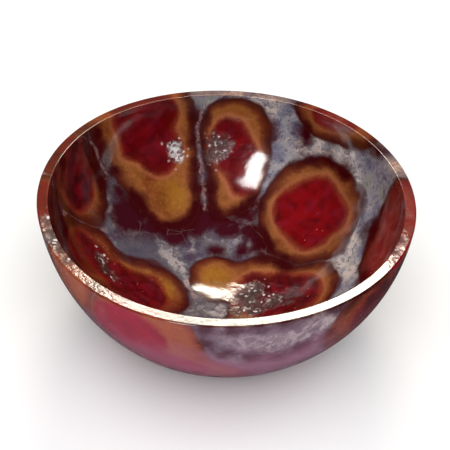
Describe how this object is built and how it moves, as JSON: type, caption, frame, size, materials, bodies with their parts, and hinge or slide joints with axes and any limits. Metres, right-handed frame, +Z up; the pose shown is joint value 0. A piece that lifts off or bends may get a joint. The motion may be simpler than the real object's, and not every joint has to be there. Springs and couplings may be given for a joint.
{
  "type": "jasper bowl",
  "caption": "Small round bowl carved from one piece of polished orbicular jasper, with a flat lip and a flat ground foot.",
  "frame": {"origin": "middle of the bowl's footprint on the surface that it stands on", "axes": "+Z up through the middle of the mouth; -Y is the side nearest the viewer in the picture, +X its right side"},
  "size_m": [0.0758, 0.0758, 0.033],
  "materials": {
    "jasper": "high polish; red and ochre orbs in grey-lilac chalcedony"
  },
  "bodies": {
    "root": {"bowl": "jasper"}
  },
  "joints": []
}
